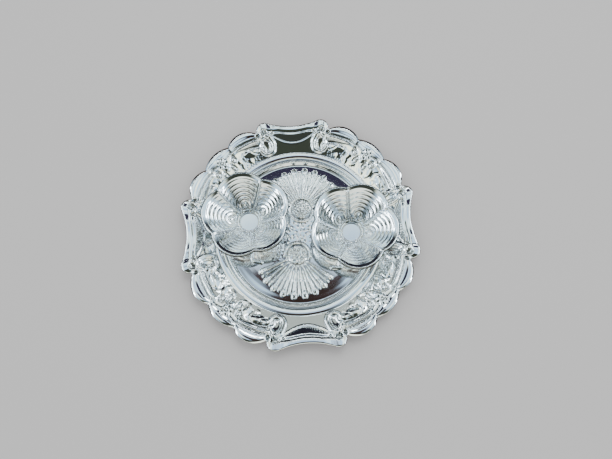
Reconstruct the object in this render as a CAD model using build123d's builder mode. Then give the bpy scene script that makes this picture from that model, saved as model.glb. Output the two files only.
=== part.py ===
"""Offering plate: a pressed silver-plate tray with a scrolled, lobed rim, and two loose flower bowls.

Frame: millimetres, +Z up, origin at the centre of the tray's flat underside. The four bracket-shaped
cartouches of the rim lie on +X, +Y, -X and -Y.
"""
import os
from math import cos, radians, sin

from build123d import *

# ---- driving dimensions ----
sheet = 0.8  # thickness of the pressed sheet, tray and bowls alike

# tray: round well and the plain ring around it
floor_r = 53.5  # flat floor of the well
wall_top_r = 55.0  # top of the well's steep wall
bead_z = 3.8  # top of the small bead that crowns the wall
bead_width = 1.4
bead_rise = 0.4
cove_r = 57.3  # narrow cove between bead and ring
cove_z = 3.1
ring_inner_r = 58.3
ring_outer_r = 62.4
ring_z = 4.4
ring_fall = 0.2  # the ring is this much lower at its inner edge

# tray: corners and middles of the lobed outline, as (angle from a cartouche's middle, radius)
cartouche_mid = (0.0, 82.0)
cartouche_tip = (15.5, 88.6)
tip_side = (18.3, 86.5)
tip_notch = (19.3, 82.5)
lobe_peak = (28.0, 88.4)
lobe_notch = (36.5, 84.3)
petal_peak = (40.0, 86.6)
petal_notch = (42.5, 85.4)
spray_peak = (45.0, 87.0)
cartouches = (0, 90, 180, 270)

# tray: cross-section of the rim's top face, as (inset from the outline, height)
field_end = (10.5, 8.4)
roll_foot = (8.2, 9.4)
roll_shoulder = (5.8, 11.6)
roll_crest = (3.6, 12.4)
roll_fall = (1.3, 11.8)
roll_edge = (0.0, 10.2)
dish = (field_end, roll_foot, roll_shoulder, roll_crest)
skirt = (roll_edge, roll_fall, roll_crest)
ring_lobing = 0.02  # the rim starts on the ring all but round

# tray: a volute at each end of a cartouche, and a flower spray on each diagonal of the rim
volute_angle = 16.6  # either side of the cartouche's middle
volute_place_r = 80.6
volute_r = 2.8
spray_place_r = 79.0
spray_petal_r = 1.9
spray_petal_pitch_r = 2.6
ornament_z = 13.0  # top of volutes and sprays
ornament_root_z = 10.6

# tray: two shells back to back in the well, each a fan of ribs around a round medallion
shell_axes = (81.5, 261.5)  # directions in which the fans open
medallion_place_r = 17.6
medallion_r = 7.0
medallion_rise = 1.0
medallion_taper = 30.0
rib_count = 9
rib_spread = 15.0  # degrees between neighbouring ribs
rib_start = 9.4  # from the medallion's centre
rib_end = 33.0
rib_width = 1.7
rib_rise = 0.9
rib_taper = 20.0

# flower bowls: five petals, straight flaring walls, a flat lip
petals = 5
bowl_height = 23.0
bowl_tip_r = 32.0  # petal tips at the lip
bowl_notch_r = 28.4  # notches between the petals at the lip
lip_width = 1.3
lip_overhang = 0.4  # how far the lip stands out from the wall
bowl_base_r = 9.2
belly_tip_r = 11.8  # the round base has opened into petals at the belly
belly_notch_r = 11.2
belly_height = 2.6
wall_gap = 1.15  # between the inner and outer faces, measured level: a sheet's thickness on the slope
left_place = (-37.1, 10.0)
left_turn = 28.0  # direction of the bowl's first petal
right_place = (38.7, -3.3)
right_turn = 59.7

over = 1.0  # how far a union or a cut runs past the face it meets


def polar(radius, angle):
    """Point in the XY plane at a radius and an angle in degrees."""
    return (radius * cos(radians(angle)), radius * sin(radians(angle)))


def rim_arcs():
    """The outline's arcs around the whole rim, each as three (angle, radius) points."""
    tip_before = (-cartouche_tip[0], cartouche_tip[1])
    flank = [
        (cartouche_tip, tip_side, tip_notch),
        (tip_notch, lobe_peak, lobe_notch),
        (lobe_notch, petal_peak, petal_notch),
    ]
    mirrored = [tuple((90 - angle, radius) for angle, radius in reversed(arc)) for arc in reversed(flank)]
    spray = (petal_notch, spray_peak, (90 - petal_notch[0], petal_notch[1]))
    quarter = [(tip_before, cartouche_mid, cartouche_tip)] + flank + [spray] + mirrored
    return [[(angle + turn, radius) for angle, radius in arc] for turn in cartouches for arc in quarter]


def rim_face(inset, height, lobing=1.0):
    """The face inside the rim's outline at a height, every radius of the outline less the inset.

    Lobing below 1 flattens the lobes towards a circle.
    """
    round_r = cartouche_mid[1]
    with BuildSketch(Plane.XY.offset(height)) as level:
        with BuildLine():
            for arc in rim_arcs():
                radii = [round_r + lobing * (radius - round_r) - inset for _, radius in arc]
                ThreePointArc(*[polar(radius, angle) for radius, (angle, _) in zip(radii, arc)])
        make_face()
    return level.sketch.face()


def rim_dish(drop):
    """Sections of the rim from the ring out to the crest, lowered by the drop."""
    first = rim_face(cartouche_mid[1] - ring_outer_r, ring_z - drop, ring_lobing)
    return [first] + [rim_face(inset, height - drop) for inset, height in dish]


def flower_face(tip_r, notch_r, height):
    """A face at a height inside five arcs that meet in notches, with the first petal along +X."""
    half = 180 / petals
    with BuildSketch(Plane.XY.offset(height)) as level:
        with BuildLine():
            for middle in range(0, 360, int(2 * half)):
                start, end = polar(notch_r, middle - half), polar(notch_r, middle + half)
                ThreePointArc(start, polar(tip_r, middle), end)
        make_face()
    return level.sketch.face()


os.makedirs("parts", exist_ok=True)

# ---- tray ----
with BuildPart() as plate:
    # outer half of the rim's roll: a sheet that falls from the crest to the edge
    loft(sections=[rim_face(inset, height) for inset, height in skirt], ruled=True)
    under_skirt = [rim_face(inset, height - sheet) for inset, height in skirt]
    loft(sections=under_skirt, ruled=True, mode=Mode.SUBTRACT)

    # rest of the rim: what lies inside its underside, less what lies inside its top face
    loft(sections=rim_dish(sheet), ruled=True)
    loft(sections=rim_dish(0), ruled=True, mode=Mode.SUBTRACT)
    with BuildSketch(Plane.XY.offset(ring_z + over)):
        Circle(ring_outer_r)
    extrude(amount=-ring_z, mode=Mode.SUBTRACT)

    # well, bead, cove and ring: one revolved sheet
    with BuildSketch(Plane.XZ):
        with BuildLine():
            bead_foot_z = bead_z - bead_rise
            top = Polyline((0, sheet), (floor_r, sheet), (wall_top_r, bead_foot_z))
            bead = ThreePointArc(
                top @ 1,
                (wall_top_r + bead_width / 2, bead_z),
                (wall_top_r + bead_width, bead_foot_z),
            )
            Polyline(
                bead @ 1,
                (cove_r, cove_z),
                (ring_inner_r, ring_z - ring_fall),
                (ring_outer_r + over, ring_z),
                (ring_outer_r + over, ring_z - sheet),
                (ring_inner_r + sheet / 2, ring_z - ring_fall - sheet),
                (cove_r, cove_z - sheet),
                (wall_top_r + sheet, cove_z - sheet),
                (floor_r + sheet, 0),
                (0, 0),
                top @ 0,
            )
        make_face()
    revolve(axis=Axis.Z)

    # two shells in the well: a domed medallion each, with a fan of ribs around its outer side
    with BuildSketch(Plane.XY.offset(sheet)):
        for axis in shell_axes:
            with Locations(polar(medallion_place_r, axis)):
                Circle(medallion_r)
    extrude(amount=medallion_rise, taper=medallion_taper)
    with BuildSketch(Plane.XY.offset(sheet)):
        for axis in shell_axes:
            middle_x, middle_y = polar(medallion_place_r, axis)
            for i in range(rib_count):
                direction = axis + (i - (rib_count - 1) / 2) * rib_spread
                rib_x, rib_y = polar((rib_start + rib_end) / 2, direction)
                with Locations(Location((middle_x + rib_x, middle_y + rib_y), direction)):
                    SlotOverall(rib_end - rib_start, rib_width)
    extrude(amount=rib_rise, taper=rib_taper)

    # rim ornament: a round volute at each end of a cartouche, a five-petalled spray on each diagonal
    with BuildSketch(Plane.XY.offset(ornament_z)):
        for cartouche in cartouches:
            for side in (-volute_angle, volute_angle):
                with Locations(polar(volute_place_r, cartouche + side)):
                    Circle(volute_r)
            diagonal = cartouche + spray_peak[0]
            with Locations(Location(polar(spray_place_r, diagonal), diagonal)):
                with PolarLocations(spray_petal_pitch_r, petals):
                    Circle(spray_petal_r)
    extrude(amount=ornament_root_z - ornament_z)

plate.part.label = "plate"
export_step(plate.part, "parts/plate.step")

# ---- flower bowl, both alike: round base opening into five petals, and a flat lip ----
top_z = sheet + bowl_height
belly_z = sheet + belly_height
wall_tip_r = bowl_tip_r - lip_overhang
wall_notch_r = bowl_notch_r - lip_overhang
with BuildPart() as flower_bowl:
    base = flower_face(bowl_base_r, bowl_base_r - ring_lobing, sheet)
    belly = flower_face(belly_tip_r, belly_notch_r, belly_z)
    loft(sections=[base, belly, flower_face(wall_tip_r, wall_notch_r, top_z - sheet)], ruled=True)
    extrude(flower_face(bowl_tip_r, bowl_notch_r, top_z - sheet), amount=sheet)
    inner_base_r = bowl_base_r + sheet - wall_gap
    inner_base = flower_face(inner_base_r, inner_base_r - ring_lobing, 2 * sheet)
    inner_belly = flower_face(belly_tip_r - wall_gap, belly_notch_r - wall_gap, belly_z)
    mouth = flower_face(bowl_tip_r - lip_width, bowl_notch_r - lip_width, top_z)
    loft(sections=[inner_base, inner_belly, mouth], ruled=True, mode=Mode.SUBTRACT)

# ---- the bowls stand loose on the floor of the well, side by side ----
left_flower_bowl = flower_bowl.part.moved(Location((*left_place, 0), (0, 0, left_turn)))
left_flower_bowl.label = "left_flower_bowl"
export_step(left_flower_bowl, "parts/left_flower_bowl.step")

right_flower_bowl = flower_bowl.part.moved(Location((*right_place, 0), (0, 0, right_turn)))
right_flower_bowl.label = "right_flower_bowl"
export_step(right_flower_bowl, "parts/right_flower_bowl.step")
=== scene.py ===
"""Looks of the offering plate: an embossed silver-plated tray with a scrolled rim, and two flower bowls.

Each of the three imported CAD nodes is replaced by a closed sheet-metal mesh whose relief is worked out
here as height over the plan, in millimetres, in the CAD model's frame. Everything else is metres.
"""
import math

import bpy
import numpy as np
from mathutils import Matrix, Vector


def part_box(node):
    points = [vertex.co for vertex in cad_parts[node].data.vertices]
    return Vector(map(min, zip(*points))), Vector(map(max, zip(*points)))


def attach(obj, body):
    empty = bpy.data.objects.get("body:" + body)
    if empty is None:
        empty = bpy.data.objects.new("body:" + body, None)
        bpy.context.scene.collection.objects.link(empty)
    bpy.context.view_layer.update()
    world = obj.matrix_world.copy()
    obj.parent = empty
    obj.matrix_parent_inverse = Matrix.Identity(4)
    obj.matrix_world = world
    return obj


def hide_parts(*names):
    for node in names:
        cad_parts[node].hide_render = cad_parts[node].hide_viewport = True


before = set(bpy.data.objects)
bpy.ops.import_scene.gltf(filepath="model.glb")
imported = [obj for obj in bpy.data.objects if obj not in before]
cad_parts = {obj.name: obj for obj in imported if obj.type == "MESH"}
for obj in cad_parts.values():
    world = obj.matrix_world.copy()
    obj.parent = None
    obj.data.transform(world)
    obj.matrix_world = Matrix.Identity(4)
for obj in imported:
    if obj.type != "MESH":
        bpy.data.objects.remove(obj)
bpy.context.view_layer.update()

MM = 0.001

# ---- shared with the CAD model: lengths in millimetres, angles in degrees ----
SHEET = 0.8
FLOOR_R = 53.5  # floor of the well
RING_R = 62.4  # outer edge of the plain ring around the well
SHELL_WAYS = (81.5, 261.5)  # directions in which the two shells in the well open
MEDALLION_PLACE_R = 17.6
RIB_PITCH = 15.0
PETALS = 5
BOWL_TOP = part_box("left_flower_bowl")[1].z / MM
# each bowl's node: the body it rides on, the direction of its first petal, and its place
BOWLS = {
    "left_flower_bowl": ("left_bowl", 28.0, (-37.1, 10.0)),
    "right_flower_bowl": ("right_bowl", 59.7, (38.7, -3.3)),
}

# ---- the looks' own, in the same units ----
RING_END_Z = 4.2  # where the rim starts to climb
RIM_RELIEF_R = RING_R + 0.3  # the rim's relief starts here
FLUTE_PITCH = 1.25
LEDGE = 1.7  # width of the flat ledge inside a cartouche's roll
BOWL_TIP_R = 32.2
BOWL_NOTCH_R = 28.3
BOWL_LIP = 2.4  # groove, flat lip and its rounded outer edge
BOWL_BASE_R = 6.8  # flat floor inside the bowl
BOWL_FOOT_R = 10.2  # outside this the rows of a bowl's mesh follow its petals
PETAL_FOCUS_R = 12.0  # middle of the ripples in a petal
RIPPLE_PITCH = 2.35
GROOVE_ROUNDS = 9  # how widely a vertex's surroundings are averaged to find grooves


# ------------------------------------------------------------------ small maths helpers
def smooth(low, high, value):
    """0 below low, 1 above high, and an S-shaped rise in between. Low may be above high."""
    t = np.clip((value - low) / (high - low), 0, 1)
    return t * t * (3 - 2 * t)


def ridge(distance, width, sharp=1.0):
    """Cross-section of a raised line: 1 in its middle and 0 beyond half its width."""
    t = np.clip(1 - (2 * distance / width) ** 2, 0, 1)
    return t**sharp


def polar(angle, radius):
    """Point at an angle in degrees and a radius."""
    return np.array([radius * math.cos(math.radians(angle)), radius * math.sin(math.radians(angle))])


def arc_through(start, middle, end):
    """Centre and radius of the circle through three points."""
    a, b, c = (np.asarray(p, float) for p in (start, middle, end))
    rows = np.array([b - a, c - a])
    sums = np.array([(b @ b - a @ a) / 2, (c @ c - a @ a) / 2])
    centre = np.linalg.solve(rows, sums)
    return centre, float(np.linalg.norm(a - centre))


def curve(*knots):
    """A smooth line through (angle, radius) knots, as points in the plan."""
    steps = 10
    pts = np.array([polar(*k) for k in knots])
    pts = np.vstack([2 * pts[0] - pts[1], pts, 2 * pts[-1] - pts[-2]])
    t = np.linspace(0, 1, steps, endpoint=False)[:, None]
    out = []
    for p0, p1, p2, p3 in zip(pts, pts[1:], pts[2:], pts[3:]):
        out.append(
            0.5 * (2 * p1 + (p2 - p0) * t + (2 * p0 - 5 * p1 + 4 * p2 - p3) * t**2
                   + (3 * p1 - p0 - 3 * p2 + p3) * t**3)
        )
    return np.vstack(out + [pts[-2][None]])


def nearest(points, line, reach):
    """Distance of each point from a line, up to reach, and how far along the line that place is."""
    best = np.full(len(points), float(reach))
    where = np.zeros(len(points))
    near = np.flatnonzero(
        np.all((points > line.min(0) - reach) & (points < line.max(0) + reach), axis=1)
    )
    picked = points[near]
    distance, place = best[near], where[near]
    for i, (a, b) in enumerate(zip(line, line[1:])):
        step = b - a
        t = np.clip(((picked - a) @ step) / max(step @ step, 1e-12), 0, 1)
        d = np.linalg.norm(picked - a - t[:, None] * step, axis=1)
        closer = d < distance
        distance = np.where(closer, d, distance)
        place = np.where(closer, (i + t) / (len(line) - 1), place)
    best[near], where[near] = distance, place
    return best, where


def wire(points, line, width, height, taper=0.0, sharp=1.0):
    """Height of a raised line. Taper narrows it: towards its end if positive, its start if negative."""
    distance, place = nearest(points, line, width / 2)
    narrow = 1 - abs(taper) * (place if taper > 0 else 1 - place)
    return height * narrow * ridge(distance / narrow, width, sharp)


def dome(points, centre, radius, height, sharp=1.0):
    """Height of a round boss, or of a dimple if height is negative."""
    return height * ridge(np.linalg.norm(points - centre, axis=1), 2 * radius, sharp)


def blob(points, centre, axis_angle, length, width, height, sharp=1.0):
    """Height of an oval boss or dimple whose long axis points along an angle."""
    turn = np.radians(axis_angle)
    rel = points - centre
    u = (rel[:, 0] * np.cos(turn) + rel[:, 1] * np.sin(turn)) / length
    v = (rel[:, 1] * np.cos(turn) - rel[:, 0] * np.sin(turn)) / width
    return height * ridge(np.hypot(u, v), 1.0, sharp)


def cells(points, pitch, seed):
    """Distance to the nearest of a field of scattered points, one to each square of the pitch.

    A square's point comes from a hash of the square's indices and the seed, so it never changes.
    """
    q = points / pitch
    base = np.floor(q).astype(np.int64)
    best = np.full(len(points), 9.0)
    for i in (-1, 0, 1):
        for j in (-1, 0, 1):
            cell = base + (i, j)
            key = (cell[:, 0] * 73856093) ^ (cell[:, 1] * 19349663) ^ (seed * 83492791)
            jitter_x = (np.sin(key * 12.9898e-3) * 43758.5453) % 1.0
            jitter_y = (np.sin(key * 78.233e-3) * 24634.6345) % 1.0
            place = cell + np.stack([jitter_x, jitter_y], 1) * 0.8
            best = np.minimum(best, np.hypot(*(place - q).T))
    return best * pitch


# ------------------------------------------------------------------ the plate's outline
# arcs from a cartouche's middle to a diagonal, as three (angle, radius) points: roll, tip, lobe, bump
OUTLINE = [
    ((-12.5, 87.3), (0.0, 82.0), (12.5, 87.3)),
    ((12.5, 87.3), (16.2, 88.5), (18.9, 85.6)),
    ((19.6, 82.6), (28.0, 88.4), (36.5, 84.3)),
    ((36.5, 84.3), (45.0, 87.2), (53.5, 84.3)),
]


def outline_radius(angle):
    """Radius of the plate's edge at angles in degrees folded to 0..45 from a cartouche's middle."""
    (_, _, flank_top), (flank_foot, _, _) = OUTLINE[1:3]
    radius = np.interp(angle, *zip(flank_top, flank_foot))
    ray = np.stack([np.cos(np.radians(angle)), np.sin(np.radians(angle))], -1)
    for start, middle, end in OUTLINE:
        centre, size = arc_through(polar(*start), polar(*middle), polar(*end))
        along = ray @ centre
        off = np.sqrt(np.maximum(size**2 - (centre @ centre - along**2), 0))
        reach = along + off if np.linalg.norm(centre) < middle[1] else along - off
        radius = np.where((angle >= start[0]) & (angle <= end[0]), reach, radius)
    return radius


def fold(points):
    """Radius, angle from the nearest cartouche (0..45), and the points mirrored into that wedge."""
    radius = np.hypot(points[:, 0], points[:, 1])
    angle = np.degrees(np.arctan2(points[:, 1], points[:, 0]))
    folded = np.abs((angle + 45) % 90 - 45)
    wedge = np.stack([radius * np.cos(np.radians(folded)), radius * np.sin(np.radians(folded))], 1)
    return radius, folded, wedge


# ------------------------------------------------------------------ the plate's relief
def roll_width(angle):
    """Width of the convex border: a roll on a cartouche, a broad leaf on each lobe and on the diagonal."""
    on_cartouche = 5.1 + 2.5 * smooth(7, 15.5, angle)
    on_lobe = 4.4 + 4.0 * np.sin(np.pi * np.clip((angle - 19.5) / 17, 0, 1))
    elsewhere = np.where(angle < 36.5, on_lobe, 4.4 + 3.4 * smooth(36.5, 42.5, angle))
    return elsewhere + (on_cartouche - elsewhere) * smooth(20.2, 18.4, angle)


def climb(radius, stations, slopes):
    """Height of a profile of straight slopes (degrees) between stations, from the ring outwards."""
    z = np.full(len(radius), RING_END_Z)
    for low, high, slope in zip(stations, stations[1:], slopes):
        z += np.tan(np.radians(slope)) * np.clip(radius - low, 0, np.maximum(high - low, 0))
    return z


def rim_form(radius, angle, edge, front):
    """Height of the plain rim: crisp smooth bands on a cartouche, a broad stepped leaf on a lobe.

    Front is 1 at the plate's front and -1 at its back. The rolls lean inwards there, more than at the
    sides.
    """
    lobe_foot_z = 10.4
    roll = roll_width(angle)
    foot = edge - roll
    ribbon = ribbon_radius(angle, foot)
    start = np.full(len(radius), RING_R)
    bands = (
        start, ribbon - 1.3, ribbon - 0.9, ribbon + 0.9, foot - LEDGE, foot, foot + 1.8, edge - 0.9, edge,
    )
    lean = 1.0 + 5.0 * np.maximum(front, 0) ** 4 + 2.5 * np.maximum(-front, 0) ** 4
    cartouche = climb(radius, bands, (21, 48, 6, 34, 1.5, 27, lean, -35))
    leaf = (start, foot, foot + 0.26 * roll, foot + 0.5 * roll, edge - 1.7, edge)
    rise = (lobe_foot_z - RING_END_Z) / (foot - RING_R)
    lobe = climb(radius, leaf, (0, 4, 17, 3, -31)) + rise * np.clip(radius - RING_R, 0, foot - RING_R)
    return cartouche + (lobe - cartouche) * smooth(17.5, 20.5, angle)


def ribbon_radius(angle, foot):
    """Radius of the bright ribbon that sags across a cartouche, from the roll's inner edge."""
    return np.minimum(69.6 + 0.05 * angle**2, foot - LEDGE - 2)


def border_relief(angle, beyond):
    """Groove and bead that follow the inner side of the border on the lobes and the diagonals."""
    along = smooth(19.5, 21.5, angle)
    lobe = along * smooth(38.0, 36.0, angle)
    z = -0.7 * ridge(beyond - 0.5, 2.0) * along + 0.8 * ridge(beyond - 2.3, 2.4, 0.8) * lobe
    return z - 1.4 * ridge(beyond - 5.4, 5.0) * lobe * smooth(37.0, 25.0, angle)


def cartouche_relief(radius, angle, beyond):
    """Fine flutes in the cove of the bracket-shaped cartouche, and the ribbon's rounding."""
    ribbon = ribbon_radius(angle, radius + beyond)
    inside = smooth(13.6, 12.0, angle)
    flutes = 0.5 - 0.5 * np.cos(np.radians(angle) * 360 / FLUTE_PITCH)
    cove = smooth(0.9, 1.8, radius - ribbon) * smooth(LEDGE - 0.1, LEDGE + 0.6, beyond)
    rounding = ridge(radius - ribbon, 1.9) * smooth(12.0, 10.5, angle)
    return 0.13 * inside * flutes * cove + 0.1 * rounding


def scroll_relief(points):
    """Volute at a cartouche's tip, and the C-scroll that curls below it round an oval hollow."""
    eye = polar(16.0, 81.2)
    z = dome(points, eye, 2.7, -2.6, 0.5) + dome(points, eye + (0.9, -0.6), 1.3, 1.1)
    z += blob(points, polar(19.6, 80.6), 15, 4.4, 3.2, -2.6, 0.5)
    z += dome(points, polar(11.9, 79.2), 1.3, -1.2, 0.5)
    scroll = curve(
        (15.4, 78.6), (13.5, 75.6), (12.4, 71.0), (13.4, 66.6), (16.8, 64.7), (20.0, 66.2), (21.4, 69.6)
    )
    z += wire(points, scroll, 3.7, 1.7, 0.3, 0.6)
    z += blob(points, polar(17.3, 70.8), 8, 10.0, 6.4, -1.6, 0.3)
    blade = curve((19.4, 73.4), (18.2, 70.6), (18.6, 67.8))
    return z + wire(points, blade, 1.6, 0.8, -0.4, 0.7)


def lobe_relief(points):
    """The rounded leaf below a lobe, with two veins, and a small bud."""
    z = blob(points, polar(27.6, 71.4), 112, 11.5, 7.0, 0.9, 0.8)
    z += wire(points, curve((33.4, 68.0), (34.0, 71.4), (32.4, 74.4)), 1.5, -0.6, 0.4)
    z += wire(points, curve((23.4, 68.4), (26.4, 70.6), (27.4, 73.6)), 1.2, -0.35, 0.4)
    return z + dome(points, polar(30.0, 66.4), 2.0, 0.22)


def eye_relief(points, centre, way, length, width):
    """A bud in a dark ring: an oval groove with a boss in its middle."""
    hollow = blob(points, centre, way, length, width, 1.0, 0.5)
    boss = blob(points, centre, way, 0.7 * length, 0.62 * width, 1.0, 0.6)
    crown = blob(points, centre, way, 0.6 * length, 0.5 * width, 1.0)
    return -1.3 * (hollow - 1.1 * boss) + 0.3 * crown


def blossom(points, centre, size, turn):
    """A small flower: round petals around a ringed centre, with a pit between each two."""
    z = np.zeros(len(points))
    for i in range(PETALS):
        way = turn + i * 360 / PETALS
        middle = centre + polar(way, 0.62 * size)
        z = np.maximum(z, blob(points, middle, way, 0.95 * size, 0.8 * size, 1.0, 0.8))
    z = z * 0.34 * size
    for i in range(PETALS):
        pit = centre + polar(turn + (i + 0.5) * 360 / PETALS, 0.78 * size)
        z -= dome(points, pit, 0.26 * size, 0.3 * size)
    z -= 0.2 * size * ridge(np.linalg.norm(points - centre, axis=1) - 0.27 * size, 0.28 * size)
    return z + dome(points, centre, 0.2 * size, 0.3 * size)


def spray_relief(points):
    """The flower spray on a diagonal: a blossom, buds in dark rings, and soft leaves."""
    z = blossom(points, polar(45.0, 77.6), 4.0, 45)
    z += eye_relief(points, polar(38.6, 74.2), 40, 5.6, 5.0)
    z += eye_relief(points, polar(41.6, 70.0), 50, 7.4, 3.8)
    z += blob(points, polar(45.0, 72.6), 45, 5.0, 3.4, 0.7, 0.8)
    z += blob(points, polar(36.4, 70.0), 60, 7.0, 3.6, 0.5, 0.8)
    z += blob(points, polar(41.2, 65.8), 100, 6.0, 2.8, 0.3, 0.8)
    return z + blob(points, polar(36.0, 66.0), 10, 5.4, 2.8, 0.3, 0.8)


def medallion_relief(points, r, turn):
    """A pebbled medallion in a round groove, with an arc around its rear."""
    beads = ridge(cells(points, 1.8, seed=3), 1.7)
    z = 0.6 * ridge(r, 14.4, 0.4) + 0.6 * beads * smooth(6.6, 6.0, r)
    z += 1.0 * ridge(r - 9.2, 2.2) * smooth(70, 92, np.abs(turn))
    return z - 0.6 * ridge(r - 7.6, 1.3)


def fan_relief(r, turn):
    """A fan of grooved ribs, each ending in a drop, with a finer rib between each two."""
    outermost = 4  # ribs either side of the middle one
    drop_from_end = 1.9
    k = np.clip(np.round(turn / RIB_PITCH), -outermost, outermost)
    off = np.radians(turn - k * RIB_PITCH) * r
    end = 32.8 - 0.12 * k**2
    width = 1.1 + 1.8 * smooth(10, 33, r)
    fan = smooth(70, 66, np.abs(turn))
    rib = 1.35 * ridge(off, width, 0.7) - 0.7 * ridge(off, 0.45 * width) * smooth(14, 18, r)
    z = rib * smooth(8.0, 9.6, r) * smooth(end - 1.6, end - 3.4, r) * fan
    along = np.where(r > end - drop_from_end, r - end + drop_from_end, (end - drop_from_end - r) * 0.5)
    z += 1.15 * ridge(np.hypot(off, along), 3.9, 0.7) * fan
    half = np.radians((turn / RIB_PITCH - 0.5 - np.floor(turn / RIB_PITCH)) * RIB_PITCH) * r
    between = ridge(half, 0.7 + 1.0 * smooth(14, 30, r), 0.7)
    between *= smooth(12, 15, r) * smooth(30.4, 29.2, r) * smooth(61, 59, np.abs(turn))
    return z + 0.65 * between


def shell_relief(points):
    """The two shells in the well, each a medallion and the fan that opens from it."""
    z = np.zeros(len(points))
    for way in SHELL_WAYS:
        rel = points - polar(way, MEDALLION_PLACE_R)
        r = np.hypot(rel[:, 0], rel[:, 1])
        turn = (np.degrees(np.arctan2(rel[:, 1], rel[:, 0])) - way + 180) % 360 - 180
        z += medallion_relief(points, r, turn) + fan_relief(r, turn)
    return z


def side_relief(points):
    """Leafwork beside the shells, and scattered pits in the middle band. It's flat under the bowls."""
    leaves = (
        (((60, 19), (70, 26), (67, 34)), 4.2),
        (((46, 36.5), (53, 40.5), (60, 38)), 3.0),
        (((76, 22), (84, 28), (80, 34)), 3.6),
    )
    x, y = points[:, 0], points[:, 1]
    band = smooth(10.5, 8.5, np.abs(x)) * smooth(8.6, 7.4, np.abs(y))
    z = -0.45 * ridge(cells(points, 2.9, seed=7), 1.7) * band
    ground = smooth(11, 16, np.abs(x)) * smooth(1.0, 0.75, np.hypot(x / 40, y / 27))
    z += 0.14 * ridge(cells(points, 2.4, seed=9), 2.2) * ground
    for way in SHELL_WAYS:
        for lean in (-1, 1):
            for knots, width in leaves:
                line = curve(*[(way - lean * turn, reach) for turn, reach in knots])
                z += wire(points, line, width, 0.8, 0.4, 0.7)
    for _, _, place in BOWLS.values():
        z *= smooth(9.6, 11.5, np.linalg.norm(points - place, axis=1))
    return z


def well_form(radius):
    """Height of the plain well, from a profile of (radius, height) points."""
    floor = ((0, SHEET), (43, SHEET), (46, 0.76), (49, 0.66), (51, 0.57), (FLOOR_R - 0.5, 0.5))
    wall = ((FLOOR_R, 0.6), (FLOOR_R + 0.3, 1.0), (54.7, 3.1))
    bead = ((55.0, 3.5), (55.4, 3.72), (55.8, 3.6), (56.2, 3.1))
    cove = ((56.6, 2.6), (57.0, 2.4), (57.4, 2.6), (57.8, 3.3))
    ring = ((58.2, 3.9), (58.7, 4.18), (60.0, 4.36), (61.4, 4.44), (61.9, 4.42), (RING_R, RING_END_Z))
    return np.interp(radius, *zip(*floor, *wall, *bead, *cove, *ring))


def rim_relief(points, wedge, radius, angle, edge):
    """All relief of the rim, at points of the plan and their mirror images in the wedge.

    Beyond is how far a point lies inside the inner edge of the border.
    """
    beyond = edge - radius - roll_width(angle)
    z = cartouche_relief(radius, angle, beyond) + border_relief(angle, beyond)
    z = z + scroll_relief(wedge) + lobe_relief(wedge) + spray_relief(wedge)
    pebbles = ridge(cells(points, 1.7, seed=5), 1.8) * smooth(18.5, 22, angle) * smooth(73, 69, radius)
    z += 0.06 * pebbles
    return z * smooth(0.0, 1.4, edge - radius) * smooth(RIM_RELIEF_R, RIM_RELIEF_R + 1.5, radius)


def plate_heights(points):
    """Height of the plain plate and of the relief pressed into it, at points of the plan."""
    radius, angle, wedge = fold(points)
    edge = outline_radius(angle)
    front = -points[:, 1] / np.maximum(radius, 1)
    plain = np.where(radius < RING_R, well_form(radius), rim_form(radius, angle, edge, front))
    relief = np.zeros(len(points))
    rim = radius > RIM_RELIEF_R
    relief[rim] = rim_relief(points[rim], wedge[rim], radius[rim], angle[rim], edge[rim])
    well = radius < FLOOR_R - 0.4
    relief[well] = shell_relief(points[well]) + side_relief(points[well])
    relief[well] *= smooth(52.8, 51.5, radius[well])
    return plain, relief


# ------------------------------------------------------------------ meshes from rings of points
def stitch(a, b, start_a, start_b):
    """Faces between two closed rows of points whose counts are equal or differ by a factor of two."""
    if a == b:
        i = np.arange(a)
        j = (i + 1) % a
        return np.stack([start_a + i, start_b + i, start_b + j, start_a + j], 1).tolist()
    small, large = min(a, b), max(a, b)
    few, many = (start_a, start_b) if a < b else (start_b, start_a)
    i = np.arange(small)
    s, s1 = few + i, few + (i + 1) % small
    l0, l1, l2 = many + 2 * i, many + 2 * i + 1, many + (2 * i + 2) % large
    faces = np.vstack([np.stack(f, 1) for f in ((s, l0, l1), (s, l1, s1), (s1, l1, l2))])
    return (faces if a < b else faces[:, ::-1]).tolist()


def groove_depth(mesh, height):
    """How far each vertex lies below the average of its surroundings, in millimetres."""
    ends = np.empty(len(mesh.edges) * 2, np.int64)
    mesh.edges.foreach_get("vertices", ends)
    one, two = ends[0::2], ends[1::2]
    size = len(height)
    degree = np.bincount(one, minlength=size) + np.bincount(two, minlength=size)
    level = height.copy()
    for _ in range(GROOVE_ROUNDS):
        near = np.bincount(one, level[two], size) + np.bincount(two, level[one], size)
        level = 0.4 * level + 0.6 * near / degree
    return level - height


def sheet_mesh(name, counts, points, under, painted_dark=0.0):
    """A closed mesh from rows of points that run from the middle over the top, round the edge and back.

    Its shade attribute tells the material where to paint shade: in grooves, and wherever more painted dark
    is given by the last argument.
    """
    starts = np.cumsum([0] + list(counts))
    faces = []
    for a, b, start_a, start_b in zip(counts, counts[1:], starts, starts[1:]):
        if a == 1:
            faces += [(start_a, start_b + i, start_b + (i + 1) % b) for i in range(b)]
        elif b == 1:
            faces += [(start_a + (i + 1) % a, start_a + i, start_b) for i in range(a)]
        else:
            faces += stitch(a, b, start_a, start_b)
    mesh = bpy.data.meshes.new(name)
    mesh.from_pydata((points * MM).tolist(), [], [tuple(map(int, face)) for face in faces])
    # painted shade: each vertex's groove depth, plus any painted dark given, which the material turns into
    # darker colour
    painted_shade = groove_depth(mesh, points[:, 2]) * np.where(under > 0, -1, 1) + painted_dark
    attribute = mesh.attributes.new("painted_shade", "FLOAT", "POINT")
    attribute.data.foreach_set("value", painted_shade.astype(np.float32))
    mesh.shade_smooth()
    obj = bpy.data.objects.new(name, mesh)
    bpy.context.scene.collection.objects.link(obj)
    return obj


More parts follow.
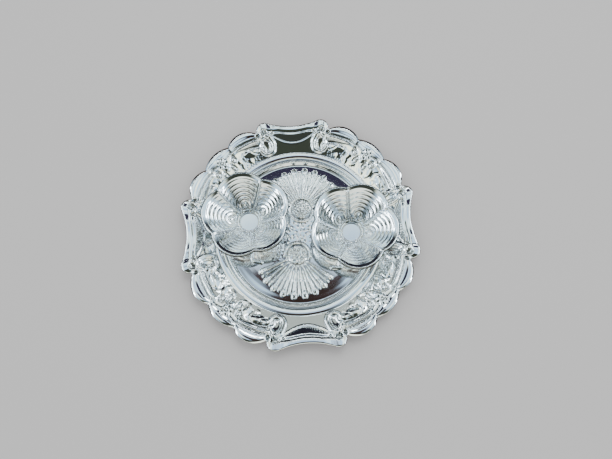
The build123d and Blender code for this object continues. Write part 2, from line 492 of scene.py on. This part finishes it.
class Sheet:
    """Rows of plan points for a pressed sheet: a point, or a ring between a circle and an outline.

    The outline gives its radius at angles in degrees. The counts are (radius, points in a ring from
    there outwards) pairs, the outermost first.
    """

    def __init__(self, outline, counts):
        self.outline, self.counts = outline, counts
        self.rows, self.lifts, self.under = [], [], []

    def point(self, underside):
        """The one point in the middle of a side."""
        self.add(np.zeros((1, 2)), underside, 0)

    def add(self, plan, underside, lift):
        """A row on one side, raised above that side's surface by the lift."""
        self.rows.append(plan)
        self.lifts.append(np.full(len(plan), float(lift)))
        self.under.append(np.full(len(plan), float(underside)))

    def ring(self, radius, share=0.0, underside=False, lift=0.0, inset=0.0, coarse=1):
        """A ring that lies a share of the way from a circle to the outline less an inset."""
        count = next(n for low, n in self.counts if radius >= low) // coarse
        way = np.arange(count) * 2 * np.pi / count
        r = radius + share * (self.outline(np.degrees(way)) - inset - radius)
        self.add(np.stack([r * np.cos(way), r * np.sin(way)], 1), underside, lift)

    def done(self):
        """The number of points in each row, and for all points their plan, lift and side."""
        counts = [len(row) for row in self.rows]
        return counts, np.vstack(self.rows), np.concatenate(self.lifts), np.concatenate(self.under)


def build_plate():
    """The plate: top and underside of one pressed sheet."""
    fine_from = 38.0
    sheet = Sheet(
        lambda way: outline_radius(np.abs((way + 45) % 90 - 45)),
        [(fine_from, 1200), (19.0, 600), (9.5, 300), (4.7, 150), (0.0, 75)],
    )
    stretches = ((1.4, 8, 0.9), (8, 53.0, 0.5), (53.0, 60, 0.25), (60, 62.3, 0.4))
    circles = np.concatenate([np.arange(*stretch) for stretch in stretches])
    outer = circles[-1] + 0.3
    shares = np.linspace(0, 1, 53)[1:]
    sheet.point(False)
    for radius in circles:
        sheet.ring(radius)
    sheet.ring(outer)
    for share in shares:
        sheet.ring(outer, share)
    # the rounded outer edge
    sheet.ring(outer, 1, lift=-0.5)
    sheet.ring(outer, 1, underside=True, lift=0.05, inset=0.35, coarse=2)
    for share in shares[-2::-2]:
        sheet.ring(outer, share, underside=True, inset=0.5, coarse=2)
    for radius in circles[::-2]:
        sheet.ring(radius, underside=True, coarse=2 if radius >= fine_from else 1)
    sheet.point(True)
    counts, plan, lift, under = sheet.done()
    within = 1 - 1e-7  # keeps the outermost points inside the outline
    plain, relief = plate_heights(plan * within)
    radius = np.hypot(*plan.T)
    lower = np.maximum(plain - SHEET, 0) + 0.8 * relief
    lower = np.where(radius < FLOOR_R, np.maximum(lower, 0), lower)
    z = np.where(under > 0, lower, plain + relief) + lift
    return sheet_mesh("plate_pressing", counts, np.column_stack([plan, z]), under)


# ------------------------------------------------------------------ the bowls
def from_petal(angle):
    """Angles in degrees from the middle of the nearest petal (-36..36), for angles from the first."""
    half = 180 / PETALS
    return (angle + half) % (2 * half) - half


def petal_edge(angle):
    """Radius of the bowl's lip at angles in degrees from a petal's middle (-36..36)."""
    half = 180 / PETALS
    centre, size = arc_through(polar(-half, BOWL_NOTCH_R), polar(0, BOWL_TIP_R), polar(half, BOWL_NOTCH_R))
    turn = np.radians(angle)
    return centre[0] * np.cos(turn) + np.sqrt(size**2 - (centre[0] * np.sin(turn)) ** 2)


def beyond_wall(radius, petal):
    """How far points lie outside the top of the bowl's wall, on its lip."""
    return radius - petal_edge(petal) + BOWL_LIP


def bowl_form(radius, petal):
    """Height of the plain bowl's inside, and how far up its wall each point lies, from 0 to 1.

    The wall is slightly hollow. A groove and a turned lip follow it.
    """
    flat_lip_end = 1.4
    wall = petal_edge(petal) - BOWL_LIP
    share = np.clip((radius - BOWL_BASE_R) / (wall - BOWL_BASE_R), 0, 1)
    z = 2 * SHEET + (BOWL_TOP - 2 * SHEET) * (0.85 * share + 0.15 * share**2)
    beyond = beyond_wall(radius, petal)
    z -= 0.5 * smooth(-1.6, -0.4, beyond) * smooth(0.75, 0.45, beyond)
    return z - 1.3 * np.clip((beyond - flat_lip_end) / (BOWL_LIP - flat_lip_end), 0, 1), share


def bowl_relief(radius, petal, share):
    """Ripples around a focus in each petal, a rib between each two petals, and rings around the base."""
    turn = np.radians(petal)
    across, outward = radius * np.sin(turn), radius * np.cos(turn)
    from_focus = np.hypot(outward - PETAL_FOCUS_R, across)
    crease = np.abs(radius * np.sin(np.radians(180 / PETALS) - np.abs(turn)))
    on_wall = smooth(0.02, 0.14, share) * smooth(1.0, 0.95, share)
    wave = np.abs(np.sin(np.pi * from_focus / RIPPLE_PITCH + 0.6)) ** 1.3
    z = 0.32 * wave * on_wall * smooth(0.9, 2.8, crease)
    z += 0.85 * ridge(crease, 1.9, 0.8) * on_wall
    z += 0.9 * ridge(np.hypot((outward - 11.6) / 3.0, across / 1.8), 2.0)
    return z + 0.5 * ridge(radius - 7.7, 1.2) + 0.35 * ridge(radius - 9.4, 1.1)


def build_bowl(name, body, first_petal, place):
    """One flower bowl, at the place and turn of its CAD node."""
    sheet = Sheet(
        lambda way: petal_edge(from_petal(way - first_petal)),
        [(9.9, 480), (4.9, 240), (0, 120)],
    )
    inner = np.concatenate([np.arange(1.0, 6, 1.0), np.arange(6, 10.0, 0.35)])
    shares = np.linspace(0, 1, 60)[1:]
    sheet.point(False)
    for radius in inner:
        sheet.ring(radius)
    sheet.ring(BOWL_FOOT_R)
    for share in shares:
        sheet.ring(BOWL_FOOT_R, share)
    sheet.ring(BOWL_FOOT_R, 1, lift=-0.45)
    for share in shares[::-2]:
        sheet.ring(BOWL_FOOT_R, share, underside=True, inset=0.3)
    for radius in inner[::-2]:
        sheet.ring(radius, underside=True)
    sheet.point(True)
    counts, plan, lift, under = sheet.done()
    radius = np.hypot(*plan.T)
    petal = from_petal(np.degrees(np.arctan2(plan[:, 1], plan[:, 0])) - first_petal)
    plain, share = bowl_form(radius, petal)
    relief = bowl_relief(radius, petal, share)
    lower = np.maximum(plain + 0.8 * relief - SHEET - 0.35 * smooth(8, 10, radius), SHEET)
    z = np.where(under > 0, lower, plain + relief) + lift
    # painted shade and reflection: a dark outline painted along the outer turned edge of each bowl's lip
    painted_dark = 0.75 * smooth(1.35, 1.65, beyond_wall(radius, petal))
    points = np.column_stack([plan + place, z])
    obj = sheet_mesh(name + "_pressing", counts, points, under, painted_dark)
    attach(obj, body)
    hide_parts(name)
    return obj


# ------------------------------------------------------------------ materials
def nodes_of(material):
    """The cleared node tree of a material or a world, and short ways to add nodes and maths to it."""
    material.use_nodes = True
    tree = material.node_tree
    tree.nodes.clear()

    def add(kind, *sources, **settings):
        node = tree.nodes.new(kind)
        for key, value in settings.items():
            setattr(node, key, value)
        for place, source in enumerate(sources):
            if source is None:
                continue
            socket = node.inputs[place]
            if hasattr(source, "node"):
                tree.links.new(source, socket)
            else:
                socket.default_value = source
        return node

    def maths(operation, *sources):
        return add("ShaderNodeMath", *sources, operation=operation).outputs[0]

    return tree, add, maths


def silver(name, tone, rough, groove_shade_strength):
    """Silver plate: its own tone on the high places, painted shade in the grooves, with cloudy polish and
    fine grain.

    The last argument sets how dark the painted shade in a groove gets. Where the mesh asks for more
    painted dark, as at the bowls' lip edge, the painted shade is darker still.
    """
    # dark colour of the painted shade in the grooves, the deep pits and on the bowls' lip edge
    painted_dark = (0.05, 0.052, 0.05, 1)
    material = bpy.data.materials.new(name)
    tree, add, maths = nodes_of(material)
    painted_shade = add("ShaderNodeAttribute", attribute_name="painted_shade").outputs["Fac"]
    where = add("ShaderNodeTexCoord").outputs["Object"]
    cloud = add("ShaderNodeTexNoise", where, None, 60.0, 4.0, 0.6).outputs["Fac"]
    grain = add("ShaderNodeTexNoise", where, None, 1400.0, 2.0, 0.5).outputs["Fac"]

    def scale(value, *span):
        return add("ShaderNodeMapRange", value, *span).outputs["Result"]

    # painted shade: grooves, deep pits and the bowls' lip edge blend towards the dark colour
    hollow = scale(painted_shade, 0.03, 0.22, 0.0, 1.0)
    painted_shade_amount = maths("MULTIPLY", maths("MULTIPLY", hollow, scale(cloud, 0.3, 0.7, 0.75, 1.0)), groove_shade_strength)
    painted_shade_amount = maths("ADD", painted_shade_amount, scale(painted_shade, 0.3, 0.7, 0.0, 0.95 - groove_shade_strength))
    colour = add("ShaderNodeMix", data_type="RGBA")
    tree.links.new(painted_shade_amount, colour.inputs["Factor"])
    colour.inputs["A"].default_value = (*tone, 1)
    colour.inputs["B"].default_value = painted_dark
    polish = scale(cloud, 0.3, 0.7, rough * 0.8, rough * 1.4)
    roughness = maths("ADD", maths("MULTIPLY", hollow, 0.12), polish)
    bump = add("ShaderNodeBump")
    bump.inputs["Strength"].default_value = 0.06
    bump.inputs["Distance"].default_value = 0.00004
    tree.links.new(grain, bump.inputs["Height"])
    shader = add("ShaderNodeBsdfPrincipled")
    shader.inputs["Metallic"].default_value = 1.0
    tree.links.new(colour.outputs["Result"], shader.inputs["Base Color"])
    tree.links.new(roughness, shader.inputs["Roughness"])
    tree.links.new(bump.outputs["Normal"], shader.inputs["Normal"])
    add("ShaderNodeOutputMaterial", shader.outputs[0])
    return material


def make_floor():
    """A plain pale floor. Seen in the metal it's darker and warm, as a wooden table is."""
    bpy.ops.mesh.primitive_plane_add(size=6.0, location=(0, 0, 0))
    floor = bpy.context.object
    floor.name = "floor"
    material = bpy.data.materials.new("pale_floor")
    _, add, _ = nodes_of(material)
    path = add("ShaderNodeLightPath")
    pale = add("ShaderNodeBsdfDiffuse", (0.72, 0.72, 0.72, 1))
    dark = add("ShaderNodeBsdfDiffuse", (0.09, 0.065, 0.055, 1))
    mix = add("ShaderNodeMixShader", path.outputs["Is Glossy Ray"], pale.outputs[0], dark.outputs[0])
    add("ShaderNodeOutputMaterial", mix.outputs[0])
    floor.data.materials.append(material)


def ramp(add, value, low, high, stops):
    """A colour ramp over an angle in degrees, from (angle, colour) stops."""
    share = add("ShaderNodeMapRange", value, math.radians(low), math.radians(high), 0.0, 1.0)
    node = add("ShaderNodeValToRGB", share.outputs["Result"])
    elements = node.color_ramp.elements
    places = [((angle - low) / (high - low), (*colour, 1)) for angle, colour in stops]
    elements[0].position, elements[0].color = places[0]
    elements[1].position, elements[1].color = places[-1]
    for place, colour in places[1:-1]:
        elements.new(place).color = colour
    return node.outputs["Color"]


# Light that the metal mirrors, by angle from overhead towards the back (+) or the front (-). In the
# photograph's view the flat floor of the well mirrors 5 degrees at its front and 24 at its back.
FRONT_TO_BACK = (
    (-90, (0.02, 0.02, 0.018)),
    (-88, (0.04, 0.045, 0.04)),
    (-83, (2.0, 2.1, 1.8)),
    (-58, (1.8, 1.9, 1.7)),
    (-54, (0.04, 0.045, 0.04)),
    (-14, (0.05, 0.06, 0.045)),
    (-6, (0.03, 0.022, 0.02)),
    (4, (0.04, 0.026, 0.022)),
    (10.8, (0.07, 0.048, 0.05)),
    (12.8, (0.95, 1.2, 1.45)),
    (14.5, (0.72, 1.00, 1.34)),
    (17, (0.74, 1.04, 1.40)),
    (19.5, (1.5, 1.95, 2.1)),
    (22.5, (1.7, 2.1, 2.1)),
    (24.5, (0.04, 0.035, 0.07)),
    (34, (0.03, 0.03, 0.05)),
    (35, (14.0, 15.5, 16.0)),
    (36.5, (12.0, 13.5, 14.0)),
    (38, (0.5, 0.57, 0.55)),
    (51, (0.6, 0.67, 0.62)),
    (54, (0.03, 0.03, 0.04)),
    (90, (0.01, 0.01, 0.02)),
)
# The same by angle from overhead towards either side.
SIDEWAYS = (
    (0, (0.05, 0.035, 0.035)),
    (5, (0.07, 0.05, 0.05)),
    (7.5, (0.92, 1.28, 1.62)),
    (13, (1.0, 1.4, 1.75)),
    (19, (2.5, 2.6, 2.0)),
    (29, (2.5, 2.7, 2.2)),
    (34, (1.1, 1.5, 1.75)),
    (60, (0.95, 1.35, 1.65)),
    (63, (16.0, 18.0, 19.0)),
    (66, (16.0, 18.0, 19.0)),
    (68, (0.2, 0.25, 0.27)),
    (71, (0.05, 0.05, 0.055)),
    (77, (0.05, 0.05, 0.05)),
    (80, (1.6, 1.9, 1.9)),
    (85, (0.3, 0.35, 0.35)),
    (90, (0.03, 0.03, 0.03)),
)
# The second takes over from the first between these angles away from the front-to-back line.
SIDE_FROM, SIDE_FULL = 41, 68


def make_world():
    """Pale all round to the eye. The metal mirrors soft cool light with darker gaps to front and back.

    Drift bends the edges of the light a little. The front-to-back angle also leans with the sideways one.
    """
    most_drift, lean = 0.035, 0.3
    world = bpy.data.worlds.new("studio")
    bpy.context.scene.world = world
    tree, add, maths = nodes_of(world)
    direction = add("ShaderNodeTexCoord").outputs["Generated"]
    way = add("ShaderNodeSeparateXYZ", direction).outputs
    uneven = add("ShaderNodeTexNoise", direction, None, 5.0, 2.0, 0.5).outputs["Fac"]
    drift = add("ShaderNodeMapRange", uneven, 0.3, 0.7, -most_drift, most_drift).outputs["Result"]
    across = maths("ABSOLUTE", way["X"])
    aside = maths("ADD", maths("ARCSINE", across), drift)
    along = maths("ADD", maths("ARCTAN2", way["Y"], way["Z"]), maths("MULTIPLY", aside, lean))
    along = maths("ADD", along, drift)
    compass = maths("ADD", maths("ARCTAN2", across, maths("ABSOLUTE", way["Y"])), drift)
    mixed = add("ShaderNodeMix", data_type="RGBA")
    share = add("ShaderNodeMapRange", compass, math.radians(SIDE_FROM), math.radians(SIDE_FULL), 0.0, 1.0)
    share.interpolation_type = "SMOOTHSTEP"
    tree.links.new(share.outputs["Result"], mixed.inputs["Factor"])
    tree.links.new(ramp(add, along, -90, 90, FRONT_TO_BACK), mixed.inputs["A"])
    tree.links.new(ramp(add, aside, 0, 90, SIDEWAYS), mixed.inputs["B"])
    seen = add("ShaderNodeMix", data_type="RGBA")
    tree.links.new(add("ShaderNodeLightPath").outputs["Is Glossy Ray"], seen.inputs["Factor"])
    seen.inputs["A"].default_value = (0.9, 0.9, 0.9, 1)
    tree.links.new(mixed.outputs["Result"], seen.inputs["B"])
    background = add("ShaderNodeBackground", seen.outputs["Result"], 1.0)
    add("ShaderNodeOutputWorld", background.outputs[0])


def make_camera():
    """The photograph's view: from above, a little in front, with a moderate wide-angle lens."""
    elevation, azimuth, distance = math.radians(75.0), math.radians(-4.0), 0.360
    shift_right, shift_up = 0.0049, 0.0019
    back = Vector((
        math.sin(azimuth) * math.cos(elevation),
        -math.cos(azimuth) * math.cos(elevation),
        math.sin(elevation),
    ))
    right = Vector((math.cos(azimuth), math.sin(azimuth), 0))
    up = back.cross(right)
    data = bpy.data.cameras.new("camera")
    data.sensor_width = 36.0
    data.lens = 28.24
    camera = bpy.data.objects.new("camera", data)
    bpy.context.scene.collection.objects.link(camera)
    camera.location = back * distance + right * shift_right + up * shift_up
    camera.rotation_euler = (-back).to_track_quat("-Z", "Y").to_euler()
    bpy.context.scene.camera = camera


def make_lamp():
    """One broad soft lamp overhead, which the metal doesn't mirror."""
    data = bpy.data.lights.new("overhead", "AREA")
    data.shape = "DISK"
    data.size = 0.5
    data.energy = 2.0
    lamp = bpy.data.objects.new("overhead", data)
    lamp.location = (0.15, 0.35, 0.9)
    lamp.rotation_euler = (-Vector(lamp.location)).to_track_quat("-Z", "Y").to_euler()
    lamp.visible_glossy = False
    bpy.context.scene.collection.objects.link(lamp)


# ------------------------------------------------------------------ put together
plate = build_plate()
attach(plate, "plate")
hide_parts("plate")
plate.data.materials.append(silver("plate_silver", (0.96, 0.98, 0.99), 0.05, 0.62))
bowl_silver = silver("bowl_silver", (0.86, 0.89, 0.92), 0.11, 0.42)
for node, (body, first_petal, place) in BOWLS.items():
    bowl = build_bowl(node, body, first_petal, place)
    bowl.data.materials.append(bowl_silver)
make_floor()
make_world()
make_lamp()
make_camera()
